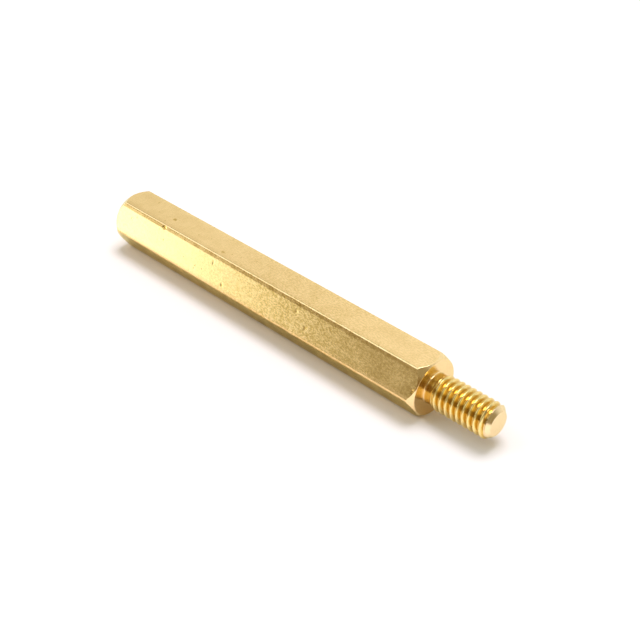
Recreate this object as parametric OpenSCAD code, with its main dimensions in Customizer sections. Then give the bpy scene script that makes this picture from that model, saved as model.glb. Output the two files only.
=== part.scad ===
// Hexagonal threaded spacer (standoff) with one male and one female end.
//
// Turned from drawn hexagonal bar in one piece. Both ends are faced and
// chamfered. One end carries a short threaded stud on a plain neck, and the
// other is drilled and tapped to the same thread.
//
// The part lies on one of its flats with its axis along +X. The origin is the
// centre of the turned seat face where the stud begins, which is the plane
// that meets the board or panel.

/* [Hexagonal bar] */
// Distance between opposite flats, the spanner size
across_flats = 4; // [3.4:0.1:8]
// Length of the hexagonal body, from the mouth of the hole to the seat face
body_length = 30; // [12:0.5:60]
// Radius on the six long edges, as the bar is drawn
edge_radius = 0.15; // [0.05:0.01:0.5]

/* [Turned ends] */
// How far inside the flats the rim of the seat face is turned
seat_inset = 0.045; // [0.01:0.005:0.3]
// How far inside the flats the rim of the face round the hole is turned
mouth_inset = 0.11; // [0.01:0.005:0.3]
// Slope of both end chamfers, measured from the axis
chamfer_angle = 33; // [20:1:70]

/* [Thread] */
// Nominal diameter of the thread, the same on the stud and in the hole
thread_diameter = 2.5; // [1.6:0.1:2.8]
// Distance between neighbouring thread crests
thread_pitch = 0.45; // [0.3:0.05:0.7]
// How far the stud's crests stay under the nominal diameter
stud_allowance = 0.02; // [0:0.01:0.1]

/* [Stud] */
// Length of the stud, from the seat face to its tip
stud_length = 5.1; // [2:0.1:15]
// Length of the plain neck between the seat face and the first crest
neck_length = 0.6; // [0.35:0.05:1.5]
// How far the neck's diameter stays under the nominal diameter of the thread
neck_relief = 0.34; // [0.1:0.02:0.6]
// Radius in the corner where the neck meets the seat face
neck_fillet = 0.18; // [0.02:0.01:0.3]
// Width and depth of the 45 degree lead-in chamfer, which ends below the thread's root
tip_chamfer = 0.4; // [0.05:0.05:0.6]

/* [Hole] */
// Depth of the hole at full diameter, before the drill point
hole_depth = 8; // [3:0.5:25]
// How far the countersink's rim lies outside the nominal diameter, all round
countersink_margin = 0.1; // [0.02:0.02:0.2]
// Included angle of the point of the drill that made the hole
drill_angle = 118; // [90:1:140]

/* [Hidden] */
$fn = 72;

// The drawn bar: a regular hexagon whose corners are arcs of edge_radius
bar_corners = 6;
edge_half_angle = 180 / bar_corners;
edge_centre = (across_flats / 2 - edge_radius) / cos(edge_half_angle);
flat_width = 2 * (across_flats / 2 - edge_radius) * tan(edge_half_angle);
facing_stock = 1; // extra bar at each end, faced off by the turning tool

// The turned ends: a cone at each end that cuts the corners of the bar
turning_radius = across_flats / 2 / cos(edge_half_angle) + 1;
seat_radius = across_flats / 2 - seat_inset;
mouth_radius = across_flats / 2 - mouth_inset;
seat_cone_length = (turning_radius - seat_radius) / tan(chamfer_angle);
mouth_cone_length = (turning_radius - mouth_radius) / tan(chamfer_angle);

// The stud's thread, cut as one groove for each pitch: 60 degree flanks, a
// crest an eighth of the pitch wide and the depth of a metric screw
flank_angle = 30;
crest_width = thread_pitch / 8;
groove_depth = 0.6134 * thread_pitch;
groove_mouth = thread_pitch - crest_width;
crest_radius = (thread_diameter - stud_allowance) / 2;
groove_root_radius = crest_radius - groove_depth;
groove_root_width = groove_mouth - 2 * groove_depth * tan(flank_angle);
groove_overcut = 0.1; // how far each groove's profile runs out past the crests
neck_radius = (thread_diameter - neck_relief) / 2;
threaded_length = stud_length - tip_chamfer - neck_length;
groove_count = floor((threaded_length - crest_width / 2) / thread_pitch);
first_groove = neck_length + crest_width + groove_mouth / 2;
stud_root = 1; // how far the stud's blank reaches into the body it is part of

// The tapped hole, at the diameter over the crests of its thread
hole_radius = (thread_diameter - thread_pitch) / 2;
countersink_radius = thread_diameter / 2 + countersink_margin;
countersink_depth = countersink_radius - hole_radius;
drill_point = hole_radius / tan(drill_angle / 2);
mouth_overcut = 0.5; // how far the drill and the countersink start outside the mouth

// Outline of the drawn bar, with a flat at each end of the X axis
module bar_section() {
    for (turn = [0 : bar_corners / 2 - 1])
        rotate(turn * 2 * edge_half_angle)
            square([across_flats, flat_width], center = true);
    for (corner = [0 : bar_corners - 1])
        rotate((2 * corner + 1) * edge_half_angle)
            translate([edge_centre, 0])
                circle(edge_radius);
}

// Everything the turning tool leaves between the two faced ends
module turned_envelope() {
    rotate_extrude()
        polygon([
            [0, -body_length],
            [mouth_radius, -body_length],
            [turning_radius, -body_length + mouth_cone_length],
            [turning_radius, -seat_cone_length],
            [seat_radius, 0],
            [0, 0]
        ]);
}

// The bar with its turned ends, where each cone runs out on the flats in a curve
module hexagonal_body() {
    intersection() {
        translate([0, 0, -body_length - facing_stock])
            linear_extrude(body_length + 2 * facing_stock)
                bar_section();
        turned_envelope();
    }
}

// Plain neck, thread crests and lead-in chamfer, before the grooves are cut
module stud_blank() {
    rotate_extrude()
        polygon([
            [0, -stud_root],
            [neck_radius, -stud_root],
            [neck_radius, neck_length],
            [crest_radius, neck_length],
            [crest_radius, stud_length - tip_chamfer],
            [crest_radius - tip_chamfer, stud_length],
            [0, stud_length]
        ]);
}

// Rounds the corner between the neck and the seat face
module neck_corner() {
    rotate_extrude()
        difference() {
            translate([neck_radius - neck_fillet, -neck_fillet])
                square(2 * neck_fillet);
            translate([neck_radius + neck_fillet, neck_fillet])
                circle(neck_fillet);
        }
}

// One groove of the thread, centred on the plane z = 0
module thread_groove() {
    overcut_width = groove_mouth + 2 * groove_overcut * tan(flank_angle);
    rotate_extrude()
        polygon([
            [groove_root_radius, -groove_root_width / 2],
            [crest_radius + groove_overcut, -overcut_width / 2],
            [crest_radius + groove_overcut, overcut_width / 2],
            [groove_root_radius, groove_root_width / 2]
        ]);
}

module threaded_stud() {
    difference() {
        stud_blank();
        for (groove = [0 : groove_count - 1])
            translate([0, 0, first_groove + groove * thread_pitch])
                thread_groove();
    }
    neck_corner();
}

// The blind hole: drill with its point, and a 45 degree countersink at the mouth
module tapped_hole() {
    translate([0, 0, -body_length]) {
        translate([0, 0, -mouth_overcut])
            cylinder(h = hole_depth + mouth_overcut, r = hole_radius);
        translate([0, 0, hole_depth])
            cylinder(h = drill_point, r1 = hole_radius, r2 = 0);
        translate([0, 0, -mouth_overcut])
            cylinder(
                h = countersink_depth + mouth_overcut,
                r1 = countersink_radius + mouth_overcut,
                r2 = hole_radius
            );
    }
}

// The whole part, turned from its own axis on to +X with a flat underneath
module standoff() {
    color([0.86, 0.66, 0.31])
        rotate([0, 90, 0])
            difference() {
                union() {
                    hexagonal_body();
                    threaded_stud();
                }
                tapped_hole();
            }
}

standoff();
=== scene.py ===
"""Looks of a brass hexagonal standoff.

The part is one turned piece, so it is drawn as one closed skin: a drawn
hexagonal bar with a chamfer turned on each end, a threaded stud on a plain
neck, and a countersunk, tapped hole. All lengths are in metres, in the frame
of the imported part: +X along the axis to the stud's tip, +Z up.
"""

import logging
import math
from collections.abc import Callable
from dataclasses import dataclass, field
from enum import Enum
from typing import Any

import bpy
import numpy as np
from mathutils import Matrix, Vector


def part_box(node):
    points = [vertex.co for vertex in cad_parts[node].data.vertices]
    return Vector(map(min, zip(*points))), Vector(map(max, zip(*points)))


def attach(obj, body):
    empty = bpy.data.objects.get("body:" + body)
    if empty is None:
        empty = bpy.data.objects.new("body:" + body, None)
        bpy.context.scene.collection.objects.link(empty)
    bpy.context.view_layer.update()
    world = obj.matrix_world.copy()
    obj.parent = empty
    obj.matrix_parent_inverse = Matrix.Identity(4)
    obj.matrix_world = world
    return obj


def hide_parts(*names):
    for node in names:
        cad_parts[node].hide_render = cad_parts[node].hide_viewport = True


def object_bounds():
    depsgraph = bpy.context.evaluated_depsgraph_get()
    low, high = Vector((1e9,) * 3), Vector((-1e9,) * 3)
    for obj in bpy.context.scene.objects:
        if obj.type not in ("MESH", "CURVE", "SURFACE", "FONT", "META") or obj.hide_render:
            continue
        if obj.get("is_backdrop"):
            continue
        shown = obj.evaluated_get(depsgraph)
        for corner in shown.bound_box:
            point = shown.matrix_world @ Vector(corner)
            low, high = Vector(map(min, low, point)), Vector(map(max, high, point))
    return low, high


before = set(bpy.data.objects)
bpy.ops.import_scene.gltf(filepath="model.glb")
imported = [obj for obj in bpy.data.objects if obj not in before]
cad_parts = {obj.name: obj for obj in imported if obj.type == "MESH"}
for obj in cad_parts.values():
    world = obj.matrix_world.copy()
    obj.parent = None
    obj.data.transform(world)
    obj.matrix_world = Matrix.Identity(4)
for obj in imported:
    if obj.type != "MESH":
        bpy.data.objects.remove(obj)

MM = 0.001
NODE = "standoff"
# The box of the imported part, taken before anything is added to the scene.
CAD_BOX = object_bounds()
DENT = "dent"
ALONG = np.array([1.0, 0.0, 0.0])
Colour = tuple[float, float, float]
log = logging.getLogger("standoff")


class Finish(Enum):
    """The finishes of the part, in the order of its material slots."""

    DRAWN = 0
    TURNED = 1
    THREAD = 2
    TIP = 3


def unit(vectors: np.ndarray) -> np.ndarray:
    """Scale vectors to length 1 along the last axis."""
    return vectors / np.linalg.norm(vectors, axis=-1, keepdims=True)


def smooth(low: float, high: float, value: np.ndarray) -> np.ndarray:
    """Ease from 0 to 1 while the values go from low to high."""
    t = np.clip((value - low) / (high - low), 0.0, 1.0)
    return t * t * (3.0 - 2.0 * t)


def soft_max(a: np.ndarray, b: np.ndarray, reach: float) -> np.ndarray:
    """Take the greater of two values, with the corner where they cross rounded over a reach."""
    return 0.5 * (a + b + np.sqrt((a - b) ** 2 + reach**2))


def soft_min(a: np.ndarray, b: np.ndarray, reach: float) -> np.ndarray:
    """Take the lesser of two values, with the corner where they cross rounded over a reach."""
    return -soft_max(-a, -b, reach)


def across(x: np.ndarray, pairs: np.ndarray) -> np.ndarray:
    """Join values along the axis with the pair of values across it that each column has."""
    return np.concatenate([x[..., None], np.broadcast_to(pairs, (*x.shape, 2))], axis=-1)


def tilt(
    facing: np.ndarray,
    height: Callable[[np.ndarray, np.ndarray], np.ndarray],
    x: np.ndarray,
    angle: np.ndarray,
    radii: np.ndarray,
    step: float,
    share: np.ndarray | float = 1.0,
) -> np.ndarray:
    """Tilt normals by the slopes of a height that stands on the surface.

    Args:
        facing: Normals without the height, square to the axis.
        height: Gives the height at positions along the axis and angles round it.
        x: Positions along the axis.
        angle: Angles round the axis.
        radii: Distances from the axis.
        step: Half the distance over which a slope is measured.
        share: Share of the height that is there.

    Returns:
        The tilted normals, of any length.
    """
    swing = step / radii
    slope_x = share * (height(x + step, angle) - height(x - step, angle)) / (2 * step)
    slope_s = share * (height(x, angle + swing) - height(x, angle - swing)) / (2 * step)
    round_way = np.stack([0.0 * x, -facing[..., 2], facing[..., 1]], axis=-1)
    return facing - slope_x[..., None] * ALONG - slope_s[..., None] * round_way


def put(name: str, data: bpy.types.ID) -> bpy.types.Object:
    """Put a new object into the scene.

    Args:
        name: The object's name.
        data: Its mesh, lamp or camera.

    Returns:
        The new object.
    """
    obj = bpy.data.objects.new(name, data)
    bpy.context.scene.collection.objects.link(obj)
    return obj


@dataclass
class Skin:
    """A closed skin that grows grid by grid and is welded where grids meet.

    Each grid brings the true normals of its surface, so a sharp turned corner
    stays sharp and a curved one stays smooth.

    Attributes:
        weld_step: Points closer together than this become one.
        points: Points of each grid.
        normals: Outward normals at those points.
        quads: Faces of each grid, as places in the list of all points.
        finishes: Finish of each of those faces.
        dents: Depth of the dents at the points, in millimetres.
    """

    weld_step: float = 2e-8
    points: list[np.ndarray] = field(default_factory=list)
    normals: list[np.ndarray] = field(default_factory=list)
    quads: list[np.ndarray] = field(default_factory=list)
    finishes: list[np.ndarray] = field(default_factory=list)
    dents: list[np.ndarray] = field(default_factory=list)

    def add(
        self,
        points: np.ndarray,
        normals: np.ndarray,
        finish: Finish,
        lead: int = 0,
        dents: np.ndarray | None = None,
    ) -> None:
        """Add a grid that closes on itself round the axis.

        Args:
            points: Grid of points, rows along the part and columns round it.
            normals: Outward normals of the surface at those points.
            finish: The finish of the grid.
            lead: How many rows the grid has climbed after one turn round the axis.
            dents: Depth of the dents at those points, in millimetres.
        """
        rows, columns, _ = points.shape
        first = sum(len(p) for p in self.points)
        index = first + np.arange(rows * columns).reshape(rows, columns)
        turned = np.roll(index, -1, axis=1)
        turned[:, -1] = index[np.minimum(np.arange(rows) + lead, rows - 1), 0]
        quads = np.stack([index[:-1], turned[:-1], turned[1:], index[1:]], axis=-1).reshape(-1, 4)
        self.points.append(points.reshape(-1, 3))
        self.normals.append(unit(normals).reshape(-1, 3))
        self.quads.append(quads)
        self.finishes.append(np.full(len(quads), finish.value))
        self.dents.append(np.zeros(rows * columns) if dents is None else dents.reshape(-1))

    def weld(self) -> tuple[np.ndarray, np.ndarray]:
        """Find the points that lie together.

        Returns:
            The first point of each welded one, and the welded point of each point.
        """
        keys = np.round(np.concatenate(self.points) / self.weld_step).astype(np.int64)
        _, first, welded = np.unique(keys, axis=0, return_index=True, return_inverse=True)
        return first, welded.reshape(-1)

    def faces(self, welded: np.ndarray) -> tuple[list[list[int]], list[np.ndarray], list[int]]:
        """Collect the faces, without those that welding has closed up.

        Args:
            welded: The welded point of each point.

        Returns:
            The welded points of each face, the normals at its corners, and its slot.
        """
        points, normals = np.concatenate(self.points), np.concatenate(self.normals)
        faces: list[list[int]] = []
        loop_normals: list[np.ndarray] = []
        slots: list[int] = []
        for quad, slot in zip(np.concatenate(self.quads), np.concatenate(self.finishes)):
            # Where welding has joined corners of a face, it becomes a triangle or goes.
            ring = [c for k, c in enumerate(quad) if welded[c] != welded[quad[k - 1]]]
            if len({int(welded[c]) for c in ring}) != len(ring) or len(ring) < 3:
                continue
            p = points[ring]
            across = np.cross(p[2] - p[0], p[-1] - p[1])
            if across @ normals[ring].sum(axis=0) < 0.0:
                ring = ring[::-1]
            faces.append([int(welded[c]) for c in ring])
            loop_normals.extend(normals[ring])
            slots.append(int(slot))
        return faces, loop_normals, slots

    def build(self, name: str) -> bpy.types.Object:
        """Weld the grids and make the mesh object.

        Args:
            name: The object's name.

        Returns:
            The new object, linked to the scene.
        """
        first, welded = self.weld()
        faces, loop_normals, slots = self.faces(welded)
        mesh = bpy.data.meshes.new(name)
        mesh.from_pydata(np.concatenate(self.points)[first].tolist(), [], faces)
        mesh.polygons.foreach_set("material_index", slots)
        mesh.polygons.foreach_set("use_smooth", [True] * len(faces))
        mesh.normals_split_custom_set([tuple(n) for n in loop_normals])
        dents = np.concatenate(self.dents)[first]
        mesh.attributes.new(DENT, "FLOAT", "POINT").data.foreach_set("value", dents.astype(np.float32))
        mesh.update()
        log.info("%s: %d points, %d faces", name, len(first), len(faces))
        return put(name, mesh)


@dataclass
class BarSection:
    """Outline of the drawn bar: six flats, and six edges that roll off softly.

    The die leaves a narrow land along each edge, which leans off the flat a
    little before the edge itself begins.

    Attributes:
        across_flats: Distance between opposite flats.
        edge_width: Length of outline that each half of a rounded edge takes.
        edge_sharpness: How much of the turn lies at the very edge.
        land_end: Length of outline from the very edge to the end of the land.
        land_lean: How far the land leans off the flat, in degrees.
        land_blend: Length of outline over which the land meets the flat.
        edge_steps: Grid steps in half an edge.
        land_steps: Grid steps from the edge to the flat.
        flat_steps: Grid steps across a flat.
        samples: Places at which the turn of an edge is added up.
        points: Points of the outline, once round the axis.
        normals: Outward normals at those points.
    """

    across_flats: float
    edge_width: float = 0.13 * MM
    edge_sharpness: float = 2.2
    land_end: float = 0.34 * MM
    land_lean: float = 4.4
    land_blend: float = 0.05 * MM
    edge_steps: int = 5
    land_steps: int = 4
    flat_steps: int = 12
    samples: int = 800
    points: np.ndarray = field(init=False)
    normals: np.ndarray = field(init=False)

    def profile(self) -> tuple[np.ndarray, np.ndarray, np.ndarray]:
        """Work out one edge with the lands beside it.

        Returns:
            Distances along the outline's way and out from the axis, and how far each point leans.
        """
        half_turn, land = math.radians(30.0), math.radians(self.land_lean)
        fine = np.linspace(0.0, self.land_end, self.samples)
        rolled = 1.0 - np.clip(1.0 - fine / self.edge_width, 0.0, 1.0) ** self.edge_sharpness
        lean = (half_turn - land) * rolled + land * smooth(self.land_end - self.land_blend, self.land_end, fine)
        middle = (lean[1:] + lean[:-1]) / 2
        side = np.concatenate([[0.0], np.cumsum(np.cos(middle))]) * fine[1]
        fall = np.concatenate([[0.0], np.cumsum(np.sin(middle))]) * fine[1]
        apex = (self.across_flats / 2 - side[-1] * math.sin(half_turn)) / math.cos(half_turn) + fall[-1]
        picks = np.concatenate([
            np.linspace(0.0, self.edge_width, self.edge_steps + 1)[1:-1],
            np.linspace(self.edge_width, self.land_end, self.land_steps + 1),
        ])
        u, v, turn = (np.interp(picks, fine, values) for values in (side, apex - fall, lean))
        u = np.concatenate([-u[::-1], [0.0], u])
        v = np.concatenate([v[::-1], [apex], v])
        turn = np.concatenate([-turn[::-1], [0.0], turn])
        return u, v, turn

    def __post_init__(self) -> None:
        """Lay the edges and the flats between them round the axis."""
        u, v, turn = self.profile()
        share = np.linspace(0.0, 1.0, self.flat_steps + 1)[1:-1, None]
        points, normals = [], []
        for corner in range(6):
            out, along = self.axes(corner)
            next_out, next_along = self.axes(corner + 1)
            edge = v[:, None] * out + u[:, None] * along
            facing = np.cos(turn)[:, None] * out + np.sin(turn)[:, None] * along
            flat = edge[-1] + share * (v[0] * next_out + u[0] * next_along - edge[-1])
            points += [edge, flat]
            normals += [facing, np.repeat(facing[-1:], len(flat), axis=0)]
        self.points, self.normals = np.concatenate(points), np.concatenate(normals)

    @staticmethod
    def axes(corner: int) -> tuple[np.ndarray, np.ndarray]:
        """Directions out through a corner and along the outline there."""
        at = math.radians(60.0 * corner)
        return np.array([math.cos(at), math.sin(at)]), np.array([-math.sin(at), math.cos(at)])

    @property
    def radii(self) -> np.ndarray:
        """Distance of each outline point from the axis."""
        return np.linalg.norm(self.points, axis=1)

    @property
    def rays(self) -> np.ndarray:
        """Unit direction of each outline point from the axis."""
        return self.points / self.radii[:, None]

    @property
    def angles(self) -> np.ndarray:
        """Angle of each outline point, rising steadily from the first."""
        return np.unwrap(np.arctan2(self.points[:, 1], self.points[:, 0]))


@dataclass(frozen=True)
class Corner:
    """A corner of a turned outline.

    Attributes:
        x: Position along the axis.
        r: Radius.
        rounding: Radius that the corner is rounded with.
        steps: Grid steps round the corner.
    """

    x: float
    r: float
    rounding: float = 0.0
    steps: int = 3


@dataclass
class TurnedOutline:
    """A turned outline: straight runs joined by rounded corners.

    It is followed so that the metal lies on the right-hand side of the way,
    with the axis ahead or behind and the radius counted upwards.

    Attributes:
        corners: The corners in order.
        run_step: Longest grid step on a straight run.
    """

    corners: list[Corner]
    run_step: float = 0.4 * MM

    def rows(self) -> np.ndarray:
        """Positions, radii and normals of the outline.

        Returns:
            One row per grid row: x, r, axial part and radial part of the normal.
        """
        at = np.array([[c.x, c.r] for c in self.corners])
        ways = unit(at[1:] - at[:-1])
        pieces = [(at[0], ways[0])]
        for corner, before, after in zip(self.corners[1:-1], ways[:-1], ways[1:]):
            pieces += self.bend(corner, before, after)
        pieces.append((at[-1], ways[-1]))
        rows = []
        for (start, way), (stop, _) in zip(pieces[:-1], pieces[1:]):
            count = max(1, math.ceil(float(np.linalg.norm(stop - start)) / self.run_step))
            for k in range(count):
                share = k / count
                rows.append([*(start + share * (stop - start)), *self.facing(way)])
        rows.append([*pieces[-1][0], *self.facing(pieces[-1][1])])
        return np.array(rows)

    @staticmethod
    def facing(way: np.ndarray) -> tuple[float, float]:
        """Outward direction on the left of a way along the outline."""
        return -way[1], way[0]

    @staticmethod
    def bend(corner: Corner, before: np.ndarray, after: np.ndarray) -> list[tuple[np.ndarray, np.ndarray]]:
        """Follow the outline round a corner.

        Args:
            corner: The corner.
            before: Way into it.
            after: Way out of it.

        Returns:
            Points round the corner, each with the way of the outline there.
        """
        at = np.array([corner.x, corner.r])
        turn = math.acos(float(np.clip(before @ after, -1.0, 1.0)))
        reach = corner.rounding * math.tan(turn / 2)
        if reach == 0.0:
            return [(at, before), (at, after)]
        side = 1.0 if before[0] * after[1] - before[1] * after[0] > 0.0 else -1.0
        left = side * np.array([-before[1], before[0]])
        points = []
        for t in np.linspace(0.0, 1.0, corner.steps + 1):
            way = unit(math.sin((1 - t) * turn) * before + math.sin(t * turn) * after)
            swept = math.sin(t * turn) * before + (1.0 - math.cos(t * turn)) * left
            points.append((at - reach * before + corner.rounding * swept, way))
        return points


@dataclass
class Lathe:
    """Puts turned surfaces on the columns of the bar's outline.

    Attributes:
        section: The bar's outline.
        skin: The skin that the surfaces are added to.
    """

    section: BarSection
    skin: Skin

    def place(self, x: np.ndarray, r: np.ndarray) -> np.ndarray:
        """Points at positions and radii given for each row and column."""
        rays = self.section.rays
        return np.stack([x + 0.0 * r, r * rays[:, 0], r * rays[:, 1]], axis=-1)

    def revolve(
        self,
        outline: TurnedOutline,
        finish: Finish,
        first: np.ndarray | None = None,
        last: np.ndarray | None = None,
    ) -> None:
        """Turn an outline round the axis.

        Args:
            outline: The outline.
            finish: The finish of the surface.
            first: Radii of the first row, where a thread meets it.
            last: Radii of the last row, where a thread meets it.
        """
        rows, rays = outline.rows(), self.section.rays
        ones = np.ones(len(rays))
        radii = rows[:, 1:2] * ones
        if first is not None:
            radii[0] = first
        if last is not None:
            radii[-1] = last
        points = self.place(rows[:, :1] * ones, radii)
        normals = np.stack(
            [rows[:, 2:3] * ones, rows[:, 3:4] * rays[:, 0], rows[:, 3:4] * rays[:, 1]], axis=-1
        )
        self.skin.add(points, normals, finish)

    def rim(self, surface: "Helical", at: float) -> np.ndarray:
        """Radii of a threaded surface all round the axis, at one position along it."""
        return surface.radius(np.full(len(self.section.rays), at), self.section.angles)

    def wind(self, surface: "Helical", low: float, high: float, rows_per_turn: int, finish: Finish) -> None:
        """Wind a threaded surface round the axis, with its rows running along the thread.

        Args:
            surface: The threaded surface.
            low: Where the surface begins.
            high: Where the surface ends.
            rows_per_turn: Grid rows in one pitch.
            finish: The finish of the surface.
        """
        pitch, angles, rays = surface.form.pitch, self.section.angles, self.section.rays
        count = math.ceil((high - low) / pitch * rows_per_turn)
        starts = high - np.arange(count + rows_per_turn, -1, -1) * pitch / rows_per_turn
        climb = (angles - angles[0]) / (2.0 * math.pi) * pitch
        # Rows that run past an end are held on it, where welding closes their faces up.
        x = np.clip(starts[:, None] + climb, low, high)
        angle = np.broadcast_to(angles, x.shape)
        r = surface.radius(x, angle)
        normals = tilt(across(0.0 * x, rays), surface.radius, x, angle, r, 1e-4 * MM)
        self.skin.add(self.place(x, r), surface.side * normals, finish, lead=rows_per_turn)


@dataclass(frozen=True)
class ThreadForm:
    """A single right-hand metric thread.

    Attributes:
        pitch: Distance between neighbouring crests.
        crest: Radius over the crests.
        root: Radius in the roots.
        crest_share: Share of the pitch that the crest's flat takes.
        root_share: Share of the pitch that the root's flat takes.
        start: Position of a crest on the +Y side.
        crest_round: How far the crest's corners are rounded, as a share of the depth.
        root_round: How far the root's corners are rounded, as a share of the depth.
    """

    pitch: float
    crest: float
    root: float
    crest_share: float
    root_share: float
    start: float
    crest_round: float = 0.05
    root_round: float = 0.08

    def radius(self, x: np.ndarray, angle: np.ndarray) -> np.ndarray:
        """Radius of the thread, with rounded crests and roots.

        Args:
            x: Positions along the axis.
            angle: Angles round the axis.

        Returns:
            The radius at each place.
        """
        turns = (x - self.start) / self.pitch - angle / (2.0 * math.pi)
        off = np.abs(turns - np.round(turns))
        flank = (1.0 - self.crest_share - self.root_share) / 2
        height = 1.0 - (off - self.crest_share / 2) / flank
        height = soft_max(height, 0.0 * height, self.root_round)
        height = soft_min(height, 0.0 * height + 1.0, self.crest_round)
        return self.root + (self.crest - self.root) * height


class Helical:
    """A threaded surface: the thread's form and what bounds it.

    Attributes:
        side: 1 if the metal lies inside the surface, -1 if it lies outside.
        form: The thread.
    """

    side: float = 1.0
    form: ThreadForm

    def radius(self, x: np.ndarray, angle: np.ndarray) -> np.ndarray:
        """Radius of the surface at positions and angles."""
        raise NotImplementedError


@dataclass
class StudThread(Helical):
    """The stud's thread, from the plain neck to the lead-in chamfer at the tip.

    Attributes:
        form: The thread.
        neck: Radius of the neck.
        begin: Where the thread begins to show on the neck.
        full: Where the thread has its full depth.
        end: Where the chamfer ends at the tip.
        face: Radius of the chamfer's small end.
        rounding: How far the corners between neck, thread and chamfer are rounded.
    """

    form: ThreadForm
    neck: float
    begin: float
    full: float
    end: float
    face: float
    rounding: float = 0.008 * MM

    def radius(self, x: np.ndarray, angle: np.ndarray) -> np.ndarray:
        """Radius of the stud.

        Args:
            x: Positions along the axis.
            angle: Angles round the axis.

        Returns:
            The radius at each place.
        """
        form, rounding = self.form, self.rounding
        grown = smooth(self.begin, self.full, x)
        blank = self.neck + (form.crest - self.neck) * grown
        grooved = form.crest - (form.crest - form.radius(x, angle)) * grown
        lead_in = self.face + (self.end - x)
        return soft_min(soft_min(blank, grooved, rounding), lead_in, rounding)


@dataclass
class HoleThread(Helical):
    """The hole's thread, from the countersink to where the tap stopped.

    Attributes:
        form: The thread, whose crests point towards the axis.
        mouth: Position of the face round the hole.
        countersink: Radius of the countersink's rim in that face.
        fade_at: Where the thread begins to run out.
        stop: Where the thread has run out.
        rounding: How far the corner between countersink and thread is rounded.
    """

    side = -1.0
    form: ThreadForm
    mouth: float
    countersink: float
    fade_at: float
    stop: float
    rounding: float = 0.006 * MM

    def radius(self, x: np.ndarray, angle: np.ndarray) -> np.ndarray:
        """Radius of the hole.

        Args:
            x: Positions along the axis.
            angle: Angles round the axis.

        Returns:
            The radius at each place.
        """
        form = self.form
        depth = (form.radius(x, angle) - form.crest) * (1.0 - smooth(self.fade_at, self.stop, x))
        cone = self.countersink - (x - self.mouth)
        return soft_max(form.crest + depth, cone, self.rounding)


@dataclass(frozen=True)
class Nick:
    """A small dent in the bar.

    Attributes:
        back: Distance of the dent from the seat face.
        bearing: Angle of the dent round the axis, in degrees.
        length: Half length of the dent along the bar.
        width: Half width of the dent round the bar.
        depth: Depth of the dent.
    """

    back: float
    bearing: float
    length: float
    width: float
    depth: float


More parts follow.
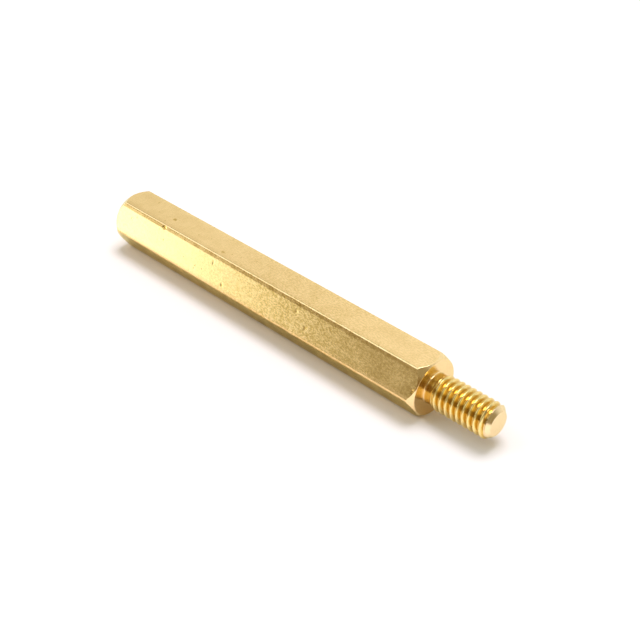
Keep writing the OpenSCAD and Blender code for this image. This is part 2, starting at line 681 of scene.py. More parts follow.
@dataclass
class HexBody:
    """The hexagonal body, with its two turned chamfers and its small dents.

    Attributes:
        lathe: Where the surfaces go.
        length: Length of the body.
        seat_radius: Radius of the rim of the seat face.
        mouth_radius: Radius of the rim of the face round the hole.
        chamfer_angle: Slope of the chamfers, measured from the axis, in degrees.
        edge_break: Length that the corner between chamfer and flat is broken by.
        rim_break: Length that the corner between chamfer and end face is broken by.
        row_step: Spacing of the grid's rows along the bar.
        bend_rows: Grid rows across a broken corner.
        dent_rows: Grid rows that are added across a dent.
        dent_reach: How far those rows reach, in half lengths of the dent.
        break_share: Greatest share of a chamfer that a broken corner takes.
        wave: Height of the slow waves that drawing leaves in the flats.
        wave_lengths: Lengths along the bar over which those waves turn.
        mouth_fade: Distance from the mouth's chamfer in which the relief grows.
        seat_fade: Distance from the seat's chamfer in which the relief grows.
        nicks: The dents.
    """

    lathe: Lathe
    length: float
    seat_radius: float
    mouth_radius: float
    chamfer_angle: float = 33.0
    edge_break: float = 0.016 * MM
    rim_break: float = 0.03 * MM
    row_step: float = 0.3 * MM
    bend_rows: int = 4
    dent_rows: int = 10
    dent_reach: float = 1.4
    break_share: float = 0.3
    wave: float = 0.0006 * MM
    wave_lengths: tuple[float, float] = (1.9 * MM, 3.1 * MM)
    mouth_fade: float = 0.3 * MM
    seat_fade: float = 0.03 * MM
    nicks: tuple[Nick, ...] = (
        Nick(24.8 * MM, 124.5, 0.18 * MM, 0.10 * MM, 0.025 * MM),
        Nick(0.20 * MM, 159.5, 0.10 * MM, 0.10 * MM, 0.05 * MM),
        Nick(24.8 * MM, 96.5, 0.20 * MM, 0.13 * MM, 0.008 * MM),
        Nick(19.0 * MM, 109.0, 0.22 * MM, 0.13 * MM, 0.006 * MM),
        Nick(27.5 * MM, 76.0, 0.12 * MM, 0.12 * MM, 0.005 * MM),
        Nick(17.8 * MM, 168.3, 0.12 * MM, 0.10 * MM, 0.008 * MM),
        Nick(19.2 * MM, 136.8, 0.10 * MM, 0.09 * MM, 0.006 * MM),
        Nick(10.8 * MM, 138.0, 0.12 * MM, 0.10 * MM, 0.007 * MM),
        Nick(9.7 * MM, 158.5, 0.12 * MM, 0.10 * MM, 0.007 * MM),
        Nick(7.4 * MM, 242.0, 0.30 * MM, 0.10 * MM, 0.016 * MM),
        Nick(12.2 * MM, 357.0, 0.20 * MM, 0.09 * MM, 0.014 * MM),
    )

    @staticmethod
    def apart(angle: np.ndarray, bearing: float) -> np.ndarray:
        """Least turn from a bearing in degrees to each angle, in radians."""
        return np.angle(np.exp(1j * (angle - math.radians(bearing))))

    def dents(self, x: np.ndarray, angle: np.ndarray) -> np.ndarray:
        """Depth of the dents.

        Args:
            x: Positions along the axis.
            angle: Angles round the axis.

        Returns:
            The depth at each place.
        """
        depth, reach = 0.0 * x, self.lathe.section.across_flats / 2
        for nick in self.nicks:
            aside = self.apart(angle, nick.bearing) * reach
            off = ((x + nick.back) / nick.length) ** 2 + (aside / nick.width) ** 2
            depth = depth + nick.depth * np.exp(-off * off)
        return depth

    def relief(self, x: np.ndarray, angle: np.ndarray) -> np.ndarray:
        """Height of the drawn surface over the ideal one.

        Args:
            x: Positions along the axis.
            angle: Angles round the axis.

        Returns:
            The height at each place, never above zero.
        """
        short, long = (x / length for length in self.wave_lengths)
        ripple = np.sin(short + 2.0 * np.sin(3.0 * angle)) * np.cos(6.0 * angle + long)
        return -self.wave * (0.5 + 0.5 * ripple) - self.dents(x, angle)

    def shares(self, seat_ends: np.ndarray, mouth_ends: np.ndarray) -> np.ndarray:
        """Choose where the side has rows of its grid, closer together at a dent.

        Args:
            seat_ends: Where the side ends towards the seat, for each column.
            mouth_ends: Where the side ends towards the mouth, for each column.

        Returns:
            The rows, as shares of the way from the mouth's end to the seat's.
        """
        shares = list(np.linspace(0.0, 1.0, round(self.length / self.row_step) + 1))
        for nick in self.nicks:
            column = int(np.argmin(np.abs(self.apart(self.lathe.section.angles, nick.bearing))))
            near = -nick.back + np.linspace(-self.dent_reach, self.dent_reach, self.dent_rows) * nick.length
            placed = (near - mouth_ends[column]) / (seat_ends[column] - mouth_ends[column])
            shares += [float(v) for v in placed if 0.0 < v < 1.0]
        return np.unique(np.round(shares, 5))

    def side(self, seat_ends: np.ndarray, mouth_ends: np.ndarray) -> None:
        """Add the drawn side between the two turned ends.

        Args:
            seat_ends: Where the side ends towards the seat, for each column.
            mouth_ends: Where the side ends towards the mouth, for each column.
        """
        section = self.lathe.section
        shares = self.shares(seat_ends, mouth_ends)
        x = mouth_ends + shares[:, None] * (seat_ends - mouth_ends)
        angle = np.broadcast_to(section.angles, x.shape)
        fade = smooth(0.0, self.mouth_fade, x - mouth_ends) * smooth(0.0, self.seat_fade, seat_ends - x)
        facing = across(0.0 * x, section.normals)
        normals = tilt(facing, self.relief, x, angle, section.radii, 1e-3 * MM, fade)
        lift = self.relief(x, angle) * fade
        points, dents = across(x, section.points) + lift[..., None] * facing, self.dents(x, angle) / MM
        self.lathe.skin.add(points, normals, Finish.DRAWN, dents=dents)

    def chamfer(self, face_at: float, rim: float, towards: float) -> np.ndarray:
        """Add a turned chamfer with its two broken corners.

        Args:
            face_at: Position of the faced end along the axis.
            rim: Radius of the end face's rim.
            towards: 1 if the end faces +X, -1 if it faces -X.

        Returns:
            Where the drawn side has to end, for each column.
        """
        section = self.lathe.section
        lean = math.radians(self.chamfer_angle)
        radii, rays = section.radii, section.rays
        drop = (radii - rim) / math.tan(lean)
        length = np.hypot(drop, radii - rim)
        most = self.break_share * length
        cut, rim_cut = np.minimum(self.edge_break, most), np.minimum(self.rim_break, most)
        axial, radial = math.sin(lean), math.cos(lean)
        depths, radiuses, axials, sides = [], [], [], []
        # From the end face round the rim to the chamfer.
        for t in np.linspace(0.0, 1.0, self.bend_rows):
            depths.append(rim_cut * t**2 * radial)
            radiuses.append(rim - self.rim_break * (1 - t) ** 2 + rim_cut * t**2 * axial)
            axials.append((1 - t) + t * axial + 0.0 * radii)
            sides.append(t * radial * rays)
        # From the chamfer round its outer edge to the drawn side.
        for t in np.linspace(0.0, 1.0, self.bend_rows):
            back = cut * (1 - t) ** 2
            depths.append(drop - back * radial + cut * t**2)
            radiuses.append(radii - back * axial)
            axials.append((1 - t) * axial + 0.0 * radii)
            sides.append((1 - t) * radial * rays + t * section.normals)
        x = face_at - towards * np.array(depths)
        normals = np.concatenate([towards * np.array(axials)[..., None], np.array(sides)], axis=-1)
        self.lathe.skin.add(self.lathe.place(x, np.array(radiuses)), normals, Finish.TURNED)
        return x[-1]

    def build(self) -> None:
        """Add the body's drawn side and its chamfers."""
        seat_ends = self.chamfer(0.0, self.seat_radius, 1.0)
        mouth_ends = self.chamfer(-self.length, self.mouth_radius, -1.0)
        self.side(seat_ends, mouth_ends)


@dataclass
class Stud:
    """The seat face, the plain neck, the thread and the tip.

    Attributes:
        lathe: Where the surfaces go.
        seat_inner: Radius at which the seat face meets the broken rim.
        length: Length of the stud.
        neck: Radius of the neck.
        fillet: Radius in the corner between the neck and the seat face.
        thread: The stud's thread.
        edge_break: Length that the corner of the end face is broken by.
        crown_share: Radius of the end face's flat middle, as a share of the whole.
        crown_rounding: Radius that the rim of that middle is rounded with.
        fillet_steps: Grid steps round the fillet.
        neck_step: Longest grid step on the neck.
        tip_step: Longest grid step on the end face.
        rows_per_turn: Grid rows in one pitch of the thread.
    """

    lathe: Lathe
    seat_inner: float
    length: float
    neck: float
    fillet: float
    thread: StudThread
    edge_break: float = 0.02 * MM
    crown_share: float = 0.55
    crown_rounding: float = 0.3 * MM
    fillet_steps: int = 8
    neck_step: float = 0.1 * MM
    tip_step: float = 0.17 * MM
    rows_per_turn: int = 14

    def build(self) -> None:
        """Add the seat face, the neck, the thread and the tip."""
        thread = self.thread
        waist = 2.0 * self.fillet
        self.lathe.revolve(
            TurnedOutline([
                Corner(0.0, self.seat_inner),
                Corner(0.0, self.neck, self.fillet, self.fillet_steps),
                Corner(waist, self.neck),
            ]),
            Finish.TURNED,
        )
        # The neck wears the thread's finish, so the painted shade near the axis darkens it too.
        self.lathe.revolve(
            TurnedOutline([Corner(waist, self.neck), Corner(thread.begin, self.neck)], self.neck_step),
            Finish.THREAD,
            last=self.lathe.rim(thread, thread.begin),
        )
        lead_in = thread.end - (thread.form.crest - thread.face)
        self.lathe.wind(thread, thread.begin, lead_in, self.rows_per_turn, Finish.THREAD)
        self.lathe.wind(thread, lead_in, thread.end - self.edge_break, self.rows_per_turn, Finish.TIP)
        self.lathe.revolve(
            TurnedOutline([
                Corner(thread.end - self.edge_break, thread.face + self.edge_break),
                Corner(thread.end, thread.face, self.edge_break),
                Corner(self.length, self.crown_share * thread.face, self.crown_rounding),
                Corner(self.length, 0.0),
            ], self.tip_step),
            Finish.TIP,
            first=self.lathe.rim(thread, thread.end - self.edge_break),
        )


@dataclass
class Hole:
    """The face round the hole, the countersink, the thread and the drilled end.

    Attributes:
        lathe: Where the surfaces go.
        mouth_inner: Radius at which the face meets the broken rim.
        depth: Depth of the hole at full diameter.
        thread: The hole's thread.
        drill_angle: Included angle of the drill's point, in degrees.
        drill_rounding: Radius in the corner where the drill's point begins.
        edge_break: Length that the countersink's rim is broken by.
        rows_per_turn: Grid rows in one pitch of the thread.
    """

    lathe: Lathe
    mouth_inner: float
    depth: float
    thread: HoleThread
    drill_angle: float = 118.0
    drill_rounding: float = 0.03 * MM
    edge_break: float = 0.02 * MM
    rows_per_turn: int = 8

    def build(self) -> None:
        """Add the hole from the bottom up to the face round its mouth."""
        thread = self.thread
        form = thread.form
        bottom = thread.mouth + self.depth
        point = form.crest / math.tan(math.radians(self.drill_angle / 2))
        self.lathe.revolve(
            TurnedOutline([
                Corner(bottom + point, 0.0),
                Corner(bottom, form.crest, self.drill_rounding),
                Corner(thread.stop, form.crest),
            ]),
            Finish.TURNED,
            last=self.lathe.rim(thread, thread.stop),
        )
        opening = thread.mouth + (thread.countersink - form.root) - self.edge_break / 2
        self.lathe.wind(thread, opening, thread.stop, self.rows_per_turn, Finish.THREAD)
        self.lathe.revolve(
            TurnedOutline([
                Corner(opening, thread.countersink - (opening - thread.mouth)),
                Corner(thread.mouth, thread.countersink, self.edge_break),
                Corner(thread.mouth, self.mouth_inner),
            ]),
            Finish.TURNED,
            first=self.lathe.rim(thread, opening),
        )


class Bench:
    """Lays out the nodes of one material or of the world."""

    def __init__(self, tree: bpy.types.NodeTree) -> None:
        """Clear a node tree and take it on."""
        self.tree = tree
        tree.nodes.clear()

    def node(self, kind: str, inputs: dict[str | int, Any] | None = None, **settings: Any) -> bpy.types.Node:
        """Add a node.

        Args:
            kind: The node's type.
            inputs: Values or sockets for its inputs, by name or by place.
            settings: Its other settings.

        Returns:
            The new node.
        """
        made = self.tree.nodes.new(kind)
        for key, value in settings.items():
            setattr(made, key, value)
        for key, value in (inputs or {}).items():
            if isinstance(value, bpy.types.NodeSocket):
                self.tree.links.new(value, made.inputs[key])
            else:
                made.inputs[key].default_value = value
        return made

    def math(self, operation: str, a: Any, b: Any = 0.0, clamp: bool = False) -> bpy.types.NodeSocket:
        """Combine two values by a math operation, held between 0 and 1 where clamp is set."""
        return self.node("ShaderNodeMath", {0: a, 1: b}, operation=operation, use_clamp=clamp).outputs[0]

    def plus(self, a: Any, b: Any) -> bpy.types.NodeSocket:
        """Add two values."""
        return self.math("ADD", a, b)

    def times(self, a: Any, b: Any) -> bpy.types.NodeSocket:
        """Multiply two values."""
        return self.math("MULTIPLY", a, b)

    def stretch(self, vector: Any, by: tuple[float, float, float]) -> bpy.types.NodeSocket:
        """Scale a vector along each axis."""
        return self.node("ShaderNodeVectorMath", {0: vector, 1: by}, operation="MULTIPLY").outputs[0]

    def ramp(
        self, value: Any, low: float, high: float, start: float = 0.0, end: float = 1.0
    ) -> bpy.types.NodeSocket:
        """Ease from start to end while a value goes from low to high."""
        inputs = {"Value": value, "From Min": low, "From Max": high, "To Min": start, "To Max": end}
        return self.node("ShaderNodeMapRange", inputs, interpolation_type="SMOOTHSTEP").outputs[0]

    def mix(self, factor: Any, a: Any, b: Any) -> bpy.types.NodeSocket:
        """Mix two colours, by the share of the second one."""
        return self.node("ShaderNodeMix", {0: factor, 6: a, 7: b}, data_type="RGBA").outputs[2]

    def noise(self, place: Any, scale: float, detail: float = 2.0, rough: float = 0.5) -> bpy.types.NodeSocket:
        """Sample a noise at a place, with so many cells in a unit of it."""
        inputs = {"Vector": place, "Scale": scale, "Detail": detail, "Roughness": rough}
        return self.node("ShaderNodeTexNoise", inputs).outputs[0]


@dataclass(frozen=True)
class Mottle:
    """Rough, stained patches that are strongest along the middle of the bar.

    Attributes:
        height: Height of the patches.
        scale: Cells of the patches in a millimetre.
        along: Cells along the bar for each one across it.
        grows: Where along the bar the patches grow to their full strength, in millimetres.
        eases: Where they grow weaker again, in millimetres.
        eased: Their strength where they begin and have ended to grow weaker.
        least: Their strength on the rest of the bar.
        upper: Heights over the axis between which the upper flat begins, in millimetres.
        upper_loss: How much weaker they are on the upper flat.
        stain: Share of tarnish in the low parts of the patches.
        haze: Share of tarnish in the broad clouds.
    """

    height: float
    scale: float = 9.0
    along: float = 0.55
    grows: tuple[float, float] = (-23.0, -12.0)
    eases: tuple[float, float] = (-9.0, -2.0)
    eased: tuple[float, float] = (0.85, 0.4)
    least: float = 0.15
    upper: tuple[float, float] = (1.9, 1.98)
    upper_loss: float = 0.45
    stain: float = 0.75
    haze: float = 0.16


@dataclass(frozen=True)
class Pits:
    """Small round pits in the drawn flats.

    Attributes:
        depth: Depth of a pit.
        scale: Cells in a millimetre, each of which may hold a pit.
        rim: Distances from the cell's point where the pit begins and is deepest.
        picked: Range of the cell's own random value in which it comes to hold a pit.
        stain: Share of tarnish in a pit.
    """

    depth: float
    scale: float = 1.6
    rim: tuple[float, float] = (0.14, 0.07)
    picked: tuple[float, float] = (0.45, 0.5)
    stain: float = 0.4


@dataclass(frozen=True)
class RootShade:
    """Painted shade in the roots of the thread: the metal near the axis is darkened towards its tarnish colour.

    Attributes:
        share: Share of the tarnish colour that is painted in as shade in the roots.
        radii: Radii between which it grows to that share, in millimetres.
    """

    share: float
    radii: tuple[float, float] = (1.20, 1.07)


@dataclass(frozen=True)
class Brass:
    """Bare brass, as one way of working leaves it.

    Attributes:
        name: The material's name.
        colour: Colour of the clean metal.
        tarnish: Colour of the metal where it is dull, and the colour of the painted shade in the roots.
        dullness: Share of tarnish in the dullest places.
        roughness: Least and greatest roughness.
        grain: Height of the fine grain.
        grain_scale: Cells of the grain in a millimetre.
        glancing: Tint of the metal where it is seen at a glancing angle.
        mottle: The rough patches, if it has any.
        pits: The pits, if it has any.
        rings: Height of the tool's rings.
        root_shade: The painted shade in the roots of the thread, if it has any.
    """

    name: str
    colour: Colour
    tarnish: Colour
    dullness: float
    roughness: tuple[float, float]
    grain: float
    grain_scale: float
    glancing: Colour = (0.84, 0.93, 0.80)
    mottle: Mottle | None = None
    pits: Pits | None = None
    rings: float = 0.0
    root_shade: RootShade | None = None

    def material(self) -> bpy.types.Material:
        """Make the material.

        Returns:
            The material, drawn from noise in the part's own coordinates.
        """
        made = bpy.data.materials.new(self.name)
        made.use_nodes = True
        nodes = BrassNodes(self, made.node_tree)
        if self.mottle:
            nodes.add_mottle(self.mottle)
            nodes.add_streaks()
        nodes.add_dents()
        if self.pits:
            nodes.add_pits(self.pits)
        if self.rings:
            nodes.add_rings(self.rings)
        if self.root_shade:
            nodes.add_root_shade(self.root_shade)
        nodes.shade()
        return made


class BrassNodes:
    """Builds up the dullness, the painted shade, the relief and the tint of one brass finish.

    Attributes:
        brass: The finish.
        bench: Where the nodes are laid out.
        place: The part's own coordinates, in millimetres.
        along: Position along the axis, in millimetres.
        up: Height over the axis, in millimetres.
        radius: Distance from the axis, in millimetres.
        cloud: Noise of broad clouds.
        fine: Noise of the fine grain.
        dull: How dull the metal is, together with the painted shade in the roots, 1 where it is all tarnish.
        height: Height of the relief, in metres.
        glancing: Tint of the metal where it is seen at a glancing angle.
    """

    def __init__(self, brass: Brass, tree: bpy.types.NodeTree) -> None:
        """Lay out the coordinates, the noises and the fine grain.

        Args:
            brass: The finish.
            tree: The material's node tree.
        """
        self.brass, self.bench = brass, Bench(tree)
        bench = self.bench
        self.place = bench.stretch(bench.node("ShaderNodeTexCoord").outputs["Object"], (1.0 / MM,) * 3)
        self.along, _, self.up = bench.node("ShaderNodeSeparateXYZ", {0: self.place}).outputs
        across = bench.stretch(self.place, (0.0, 1.0, 1.0))
        self.radius = bench.node("ShaderNodeVectorMath", {0: across}, operation="LENGTH").outputs["Value"]
        self.cloud = bench.noise(self.place, scale=0.9, detail=4.0, rough=0.6)
        self.fine = bench.noise(self.place, brass.grain_scale, detail=3.0, rough=0.6)
        grained = bench.times(bench.ramp(self.fine, 0.52, 0.74), brass.dullness)
        clouded = bench.times(bench.ramp(self.cloud, 0.5, 0.8), 0.5 * brass.dullness)
        self.dull = bench.plus(grained, clouded)
        self.height = bench.times(self.fine, brass.grain)
        self.glancing: Any = (*brass.glancing, 1.0)

    def add_mottle(self, mottle: Mottle) -> None:
        """Add rough, stained patches.

        Args:
            mottle: The patches.
        """
        bench = self.bench
        cells = bench.stretch(self.place, (mottle.along, 1.0, 1.0))
        rough = bench.noise(cells, mottle.scale, detail=1.5, rough=0.6)
        eased = bench.ramp(self.along, *mottle.eases, *mottle.eased)
        grown = bench.times(bench.ramp(self.along, *mottle.grows), eased)
        lost = bench.times(bench.ramp(self.up, *mottle.upper), mottle.upper_loss)
        share = bench.times(bench.plus(grown, mottle.least), bench.math("SUBTRACT", 1.0, lost))
        self.height = bench.plus(self.height, bench.times(rough, bench.times(share, mottle.height)))
        stain = bench.times(bench.ramp(rough, 0.66, 0.34), bench.times(share, mottle.stain))
        haze = bench.times(bench.ramp(self.cloud, 0.64, 0.36), mottle.haze)
        self.dull = bench.plus(bench.plus(self.dull, stain), haze)

    def add_streaks(self) -> None:
        """Darken the glancing tint in streaks that run across the bar."""
        bench = self.bench
        streaks = bench.noise(bench.stretch(self.place, (1.0, 0.2, 0.2)), scale=5.0, detail=3.0, rough=0.7)
        darker = (*(0.5 * c for c in self.brass.glancing), 1.0)
        self.glancing = bench.mix(bench.ramp(streaks, 0.68, 0.32), self.glancing, darker)

    def add_dents(self) -> None:
        """Tarnish the bottoms of the dents."""
        depth = self.bench.node("ShaderNodeAttribute", attribute_name=DENT).outputs["Fac"]
        self.dull = self.bench.plus(self.dull, self.bench.ramp(depth, 0.001, 0.008, 0.0, 0.9))

    def add_pits(self, pits: Pits) -> None:
        """Add small pits.

        Args:
            pits: The pits.
        """
        bench = self.bench
        cell = bench.node("ShaderNodeTexVoronoi", {"Vector": self.place, "Scale": pits.scale}).outputs
        drawn = bench.node("ShaderNodeSeparateColor", {0: cell["Color"]}).outputs[0]
        pit = bench.times(bench.ramp(cell["Distance"], *pits.rim), bench.ramp(drawn, *pits.picked))
        self.height = bench.math("SUBTRACT", self.height, bench.times(pit, pits.depth))
        self.dull = bench.plus(self.dull, bench.times(pit, pits.stain))

    def add_rings(self, height: float) -> None:
        """Add the rings that a turning tool leaves.

        Args:
            height: Height of the rings.
        """
        bench = self.bench
        ring = bench.node("ShaderNodeCombineXYZ", {0: self.radius, 1: self.along}).outputs[0]
        self.height = bench.plus(self.height, bench.times(bench.noise(ring, scale=22.0), height))

    def add_root_shade(self, root_shade: RootShade) -> None:
        """Add painted shade near the axis, where the roots of the thread are."""
        deep = self.bench.times(self.bench.ramp(self.radius, *root_shade.radii), root_shade.share)
        self.dull = self.bench.plus(self.dull, deep)

    def shade(self) -> None:
        """Bring everything together in the metal's shader."""
        bench, brass = self.bench, self.brass
        bump = bench.node("ShaderNodeBump", {"Height": self.height, "Strength": 1.0, "Distance": 1.0})
        worn = bench.plus(bench.times(self.cloud, 0.5), bench.times(self.fine, 0.5))
        dull = bench.math("MINIMUM", self.dull, 1.0)
        shader = bench.node("ShaderNodeBsdfPrincipled", {
            "Base Color": bench.mix(dull, (*brass.colour, 1.0), (*brass.tarnish, 1.0)),
            "Metallic": 1.0,
            "Specular Tint": self.glancing,
            "Roughness": bench.ramp(worn, 0.35, 0.65, *brass.roughness),
            "Normal": bump.outputs[0],
        })
        bench.node("ShaderNodeOutputMaterial", {0: shader.outputs[0]})


@dataclass(frozen=True)
class Patch:
    """A soft patch of the surroundings, lighter or darker than the rest.

    Attributes:
        bearing: Angle of its middle round the part from -Y towards +X, in degrees.
        rise: Angle of its middle above the horizon, in degrees.
        inner: Angle from the middle within which it is full, in degrees.
        outer: Angle from the middle beyond which it is gone, in degrees.
        light: Its light, red, green and blue.
        flatness: How many times wider it is than high.
    """

    bearing: float
    rise: float
    inner: float
    outer: float
    light: Colour
    flatness: float = 1.0

    @property
    def middle(self) -> Vector:
        """Direction of its middle.

        Returns:
            The direction, with its height stretched by the flatness.
        """
        turn, rise = math.radians(self.bearing), math.radians(self.rise)
        level, high = math.cos(rise), math.sin(rise) * self.flatness
        return Vector((math.sin(turn) * level, -math.cos(turn) * level, high)).normalized()


@dataclass
class Studio:
    """A pale floor, a soft overhead lamp and soft surroundings.

    Attributes:
        floor_at: Height of the floor.
        floor_size: Width of the floor.
        floor_colour: Colour of the floor.
        fibre_scale: Cells of the floor's fibres in a metre.
        fibre_shade: Shade of the darkest fibres, as a share of the floor's colour.
        floor_glow: How much lighter the floor looks than its shade is.
        glow_colour: Colour of that.
        lamp_at: Position of the overhead lamp along the part and across it.
        lamp_height: Height of the overhead lamp over the floor.
        lamp_size: Width of the overhead lamp.
        lamp_level: Light that the lamp gives a white floor, as a share of white.
        lamp_colour: Colour of its light.
        base: Light of the surroundings outside the patches.
        patches: The patches, each over those before it.
    """

    floor_at: float
    floor_size: float = 0.9
    floor_colour: Colour = (0.95, 0.93, 0.91)
    fibre_scale: float = 2500.0
    fibre_shade: float = 0.985
    floor_glow: float = 0.01
    glow_colour: Colour = (1.0, 0.93, 0.86)
    lamp_at: tuple[float, float] = (-12.0 * MM, 72.0 * MM)
    lamp_height: float = 0.40
    lamp_size: float = 0.24
    lamp_level: float = 0.66
    lamp_colour: Colour = (1.0, 0.985, 1.13)
    base: Colour = (0.37, 0.33, 0.21)
    patches: tuple[Patch, ...] = (
        Patch(-172.0, 25.0, 10.0, 75.0, (1.10, 1.145, 1.165)),  # broad and soft, behind the part
        Patch(-54.0, 48.0, 17.0, 23.5, (1.58, 1.74, 2.05)),  # cool, high beyond the hole's end
        Patch(-75.0, 4.6, 4.0, 44.9, (3.9, 4.4, 4.4), 4.0),  # a low bright strip under it
        Patch(28.0, 10.0, 26.0, 39.0, (0.27, 0.185, 0.075)),  # dark and warm, in front
        Patch(-47.0, 21.0, 4.5, 8.0, (0.55, 0.43, 0.20)),  # a small dim one over the strip
        Patch(24.0, 60.0, 8.0, 16.0, (1.20, 1.20, 1.00)),  # a pale one high in front
    )

    def floor(self) -> bpy.types.Object:
        """Lay the floor under the part.

        Returns:
            The floor.
        """
        steps, half = 8, self.floor_size / 2
        line = np.linspace(-half, half, steps + 1)
        points = [(float(x), float(y), self.floor_at) for y in line for x in line]
        faces = [
            (k, k + 1, k + steps + 2, k + steps + 1)
            for k in (row * (steps + 1) + column for row in range(steps) for column in range(steps))
        ]
        mesh = bpy.data.meshes.new("floor")
        mesh.from_pydata(points, [], faces)
        mesh.update()
        mesh.materials.append(self.paper())
        obj = put("floor", mesh)
        obj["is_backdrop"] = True
        return obj

    def paper(self) -> bpy.types.Material:
        """Make the floor's pale, matt material.

        Returns:
            The material.
        """
        made = bpy.data.materials.new("paper")
        made.use_nodes = True
        bench = Bench(made.node_tree)
        place = bench.node("ShaderNodeTexCoord").outputs["Object"]
        fibres = bench.noise(place, self.fibre_scale, detail=3.0)
        shaded = (*(self.fibre_shade * c for c in self.floor_colour), 1.0)
        pale = bench.mix(fibres, (*self.floor_colour, 1.0), shaded)
        bump = bench.node("ShaderNodeBump", {"Height": fibres, "Strength": 0.1, "Distance": 1e-5})
        matt = bench.node("ShaderNodeBsdfDiffuse", {"Color": pale, "Roughness": 1.0, "Normal": bump.outputs[0]})
        path = bench.node("ShaderNodeLightPath").outputs
        seen = bench.math("ADD", path["Is Camera Ray"], path["Is Glossy Ray"], clamp=True)
        glow = bench.node("ShaderNodeEmission", {
            "Color": (*self.glow_colour, 1.0), "Strength": bench.times(seen, self.floor_glow)
        })
        both = bench.node("ShaderNodeAddShader", {0: matt.outputs[0], 1: glow.outputs[0]})
        bench.node("ShaderNodeOutputMaterial", {0: both.outputs[0]})
        return made

    def lamp(self) -> bpy.types.Object:
        """Hang the overhead lamp.

        Returns:
            The lamp.
        """
        light = bpy.data.lights.new("overhead", "AREA")
        light.shape = "DISK"
        light.size = self.lamp_size
        light.color = self.lamp_colour
        half = math.atan(self.lamp_size / 2 / self.lamp_height)
        # Right under the lamp a white floor shows its radiance times the square of that angle's sine.
        radiance = self.lamp_level / math.sin(half) ** 2
        light.energy = radiance * math.pi * math.pi * (self.lamp_size / 2) ** 2
        obj = put("overhead", light)
        obj.location = (*self.lamp_at, self.floor_at + self.lamp_height)
        obj.visible_camera = False
        return obj

    def surroundings(self) -> None:
        """Set the soft light that comes from all round, and a white backdrop."""
        world = bpy.context.scene.world or bpy.data.worlds.new("studio")
        bpy.context.scene.world = world
        world.use_nodes = True
        bench = Bench(world.node_tree)
        towards = bench.node("ShaderNodeTexCoord").outputs["Generated"]
        total: Any = (*self.base, 1.0)
        for patch in self.patches:
            stretched = bench.stretch(towards, (1.0, 1.0, patch.flatness))
            along = bench.node("ShaderNodeVectorMath", {0: stretched}, operation="NORMALIZE").outputs[0]
            off = bench.node("ShaderNodeVectorMath", {0: along, 1: patch.middle}, operation="DOT_PRODUCT")
            edge, full = math.cos(math.radians(patch.outer)), math.cos(math.radians(patch.inner))
            total = bench.mix(bench.ramp(off.outputs["Value"], edge, full), total, (*patch.light, 1.0))
        seen = bench.node("ShaderNodeLightPath").outputs["Is Camera Ray"]
        shown = bench.mix(seen, total, (1.0, 1.0, 1.0, 1.0))
        back = bench.node("ShaderNodeBackground", {"Color": shown, "Strength": 1.0})
        bench.node("ShaderNodeOutputWorld", {0: back.outputs[0]})

    def build(self) -> None:
        """Set up the floor, the lamp, the surroundings and the plain view."""
        self.floor()
        self.lamp()
        self.surroundings()
        bpy.context.scene.view_settings.view_transform = "Standard"


@dataclass
class Viewpoint:
    """Where the part is looked at from.

    Attributes:
        target: Point in the middle of the view.
        bearing: Angle round the part from -Y towards +X, in degrees.
        elevation: Angle above the horizon, in degrees.
        distance: Distance from the target.
        roll: Turn about the line of sight, in degrees.
        lens: Focal length, in millimetres.
        sensor: Width of the sensor, in millimetres.
        clip: Nearest and farthest distance that is seen.
    """

    target: tuple[float, float, float] = (-10.1067 * MM, 0.0, 0.5044 * MM)
    bearing: float = 44.76
    elevation: float = 36.894
    distance: float = 82.41 * MM
    roll: float = 1.0056
    lens: float = 68.2068
    sensor: float = 36.0
    clip: tuple[float, float] = (1.0 * MM, 10.0)

    def build(self) -> bpy.types.Object:
        """Make the camera and look through it.

        Returns:
            The camera.
        """
        turn, rise = math.radians(self.bearing), math.radians(self.elevation)
        level_share = math.cos(rise)
        back = Vector((math.sin(turn) * level_share, -math.cos(turn) * level_share, math.sin(rise)))
        level = Vector((math.cos(turn), math.sin(turn), 0.0))
        tilt = Matrix.Rotation(math.radians(self.roll), 3, -back)
        right = tilt @ level
        up = back.cross(right)
        data = bpy.data.cameras.new("camera")
        data.lens = self.lens
        data.sensor_width = self.sensor
        data.clip_start, data.clip_end = self.clip
        facing = Matrix((right, up, back)).transposed().to_4x4()
        camera = put("camera", data)
        camera.matrix_world = Matrix.Translation(Vector(self.target) + self.distance * back) @ facing
        bpy.context.scene.camera = camera
        return camera


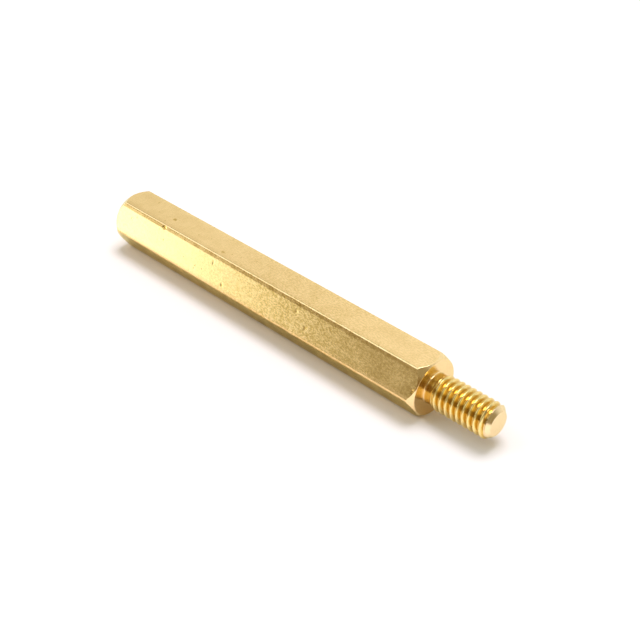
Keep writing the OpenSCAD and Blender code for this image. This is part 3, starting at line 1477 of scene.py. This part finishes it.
@dataclass
class Standoff:
    """The whole part in its brass.

    Attributes:
        across_flats: Distance between opposite flats.
        length: Length of the body.
        stud_length: Length of the stud.
        diameter: Nominal diameter of the thread.
        pitch: Pitch of the thread.
        seat_inset: How far inside the flats the seat face's rim is turned.
        mouth_inset: How far inside the flats the rim of the face round the hole is turned.
        neck: Radius of the neck.
        tip_radius: Radius of the end face at the stud's tip.
        tip_crown: How far the middle of that face stands out.
        thread_start: Position of a crest of the stud's thread on the +Y side.
        thread_begin: Where the stud's thread begins to show on the neck.
        thread_full: Where the stud's thread has its full depth.
        thread_depth: Depth of the stud's thread.
        stud_allowance: How far the stud's crests stay under the nominal radius.
        fillet: Radius in the corner between the neck and the seat face.
        hole_depth: Depth of the hole at full diameter.
        hole_allowance: How far the roots of the hole's thread lie outside the nominal radius.
        countersink_margin: How far the countersink's rim lies outside the nominal radius.
        fade_from: Distance from the hole's bottom at which its thread begins to run out.
        fade_to: Distance from the hole's bottom at which its thread has run out.
        finishes: The brass of each finish.
    """

    across_flats: float
    length: float
    stud_length: float
    diameter: float = 2.5 * MM
    pitch: float = 0.45 * MM
    seat_inset: float = 0.045 * MM
    mouth_inset: float = 0.11 * MM
    neck: float = 1.08 * MM
    tip_radius: float = 0.85 * MM
    tip_crown: float = 0.015 * MM
    thread_start: float = 0.69 * MM
    thread_begin: float = 0.45 * MM
    thread_full: float = 0.85 * MM
    thread_depth: float = 0.28 * MM
    stud_allowance: float = 0.01 * MM
    fillet: float = 0.07 * MM
    hole_depth: float = 8.0 * MM
    hole_allowance: float = 0.03 * MM
    countersink_margin: float = 0.1 * MM
    fade_from: float = 2.2 * MM
    fade_to: float = 1.4 * MM
    finishes: dict[Finish, Brass] = field(default_factory=lambda: {
        Finish.DRAWN: Brass(
            "brass_drawn", colour=(0.95, 0.672, 0.325), tarnish=(0.60, 0.38, 0.105), dullness=0.12,
            roughness=(0.15, 0.24), grain=0.0010 * MM, grain_scale=8.0, glancing=(0.92, 1.0, 0.74),
            mottle=Mottle(0.004 * MM), pits=Pits(0.003 * MM),
        ),
        Finish.TURNED: Brass(
            "brass_turned", colour=(0.88, 0.64, 0.32), tarnish=(0.62, 0.36, 0.12), dullness=0.2,
            roughness=(0.14, 0.24), grain=0.0003 * MM, grain_scale=11.0, rings=0.0012 * MM,
        ),
        Finish.THREAD: Brass(
            "brass_thread", colour=(0.88, 0.69, 0.29), tarnish=(0.62, 0.37, 0.06), dullness=0.3,
            roughness=(0.14, 0.24), grain=0.0008 * MM, grain_scale=8.0, glancing=(0.90, 0.86, 0.78),
            # Painted shade: darkens this finish within 1.2 mm of the axis, which takes in the stud's roots, the
            # neck and the hole's crests.
            root_shade=RootShade(0.8),
        ),
        Finish.TIP: Brass(
            "brass_tip", colour=(0.89, 0.67, 0.38), tarnish=(0.70, 0.50, 0.22), dullness=0.2,
            roughness=(0.16, 0.26), grain=0.0006 * MM, grain_scale=9.0, rings=0.0008 * MM,
        ),
    })

    def stud(self, lathe: Lathe, seat_inner: float) -> Stud:
        """Lay out the stud.

        Args:
            lathe: Where its surfaces go.
            seat_inner: Radius at which the seat face meets its broken rim.

        Returns:
            The stud, ready to be built.
        """
        crest = self.diameter / 2 - self.stud_allowance
        form = ThreadForm(
            self.pitch, crest, crest - self.thread_depth, crest_share=0.12, root_share=0.16, start=self.thread_start
        )
        thread = StudThread(
            form, self.neck, self.thread_begin, self.thread_full, self.stud_length - self.tip_crown, self.tip_radius
        )
        return Stud(lathe, seat_inner, self.stud_length, self.neck, self.fillet, thread)

    def hole(self, lathe: Lathe, mouth_inner: float) -> Hole:
        """Lay out the hole.

        Args:
            lathe: Where its surfaces go.
            mouth_inner: Radius at which the face round the hole meets its broken rim.

        Returns:
            The hole, ready to be built.
        """
        mouth, nominal = -self.length, self.diameter / 2
        form = ThreadForm(
            self.pitch, (self.diameter - self.pitch) / 2, nominal + self.hole_allowance,
            crest_share=1 / 4, root_share=1 / 8, start=mouth,
        )
        thread = HoleThread(
            form, mouth, nominal + self.countersink_margin,
            fade_at=self.hole_depth - self.fade_from + mouth, stop=self.hole_depth - self.fade_to + mouth,
        )
        return Hole(lathe, mouth_inner, self.hole_depth, thread)

    def dress(self, obj: bpy.types.Object) -> None:
        """Give the part its finishes, in the order of its slots."""
        for finish in Finish:
            obj.data.materials.append(self.finishes[finish].material())

    def build(self) -> bpy.types.Object:
        """Make the part.

        Returns:
            The part, riding on the root body in place of the plain one.
        """
        skin, half_width = Skin(), self.across_flats / 2
        lathe = Lathe(BarSection(self.across_flats), skin)
        body = HexBody(lathe, self.length, half_width - self.seat_inset, half_width - self.mouth_inset)
        body.build()
        self.stud(lathe, body.seat_radius - body.rim_break).build()
        self.hole(lathe, body.mouth_radius - body.rim_break).build()
        obj = skin.build("brass_standoff")
        self.dress(obj)
        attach(obj, "root")
        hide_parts(NODE)
        return obj


def write_sizes(before: tuple[Vector, Vector], after: tuple[Vector, Vector]) -> None:
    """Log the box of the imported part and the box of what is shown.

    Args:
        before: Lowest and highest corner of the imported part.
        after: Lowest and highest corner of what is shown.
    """
    sizes = {"cad": [list(corner) for corner in before], "shown": [list(corner) for corner in after]}
    for name, corners in sizes.items():
        log.info("%s box: %s", name, [[round(v / MM, 4) for v in corner] for corner in corners])


def main() -> None:
    """Build the part, the floor and lights, and the camera, in that order."""
    logging.basicConfig(level=logging.INFO, format="%(name)s: %(message)s")
    low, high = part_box(NODE)
    across_flats = 2.0 * abs(low[2])
    part = Standoff(across_flats=across_flats, length=-low[0], stud_length=high[0]).build()
    log.info("%s built", part.name)
    Studio(floor_at=low[2]).build()
    log.info("floor, lamp and surroundings set")
    Viewpoint().build()
    log.info("camera set")
    write_sizes(CAD_BOX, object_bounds())


if __name__ == "__main__":
    main()
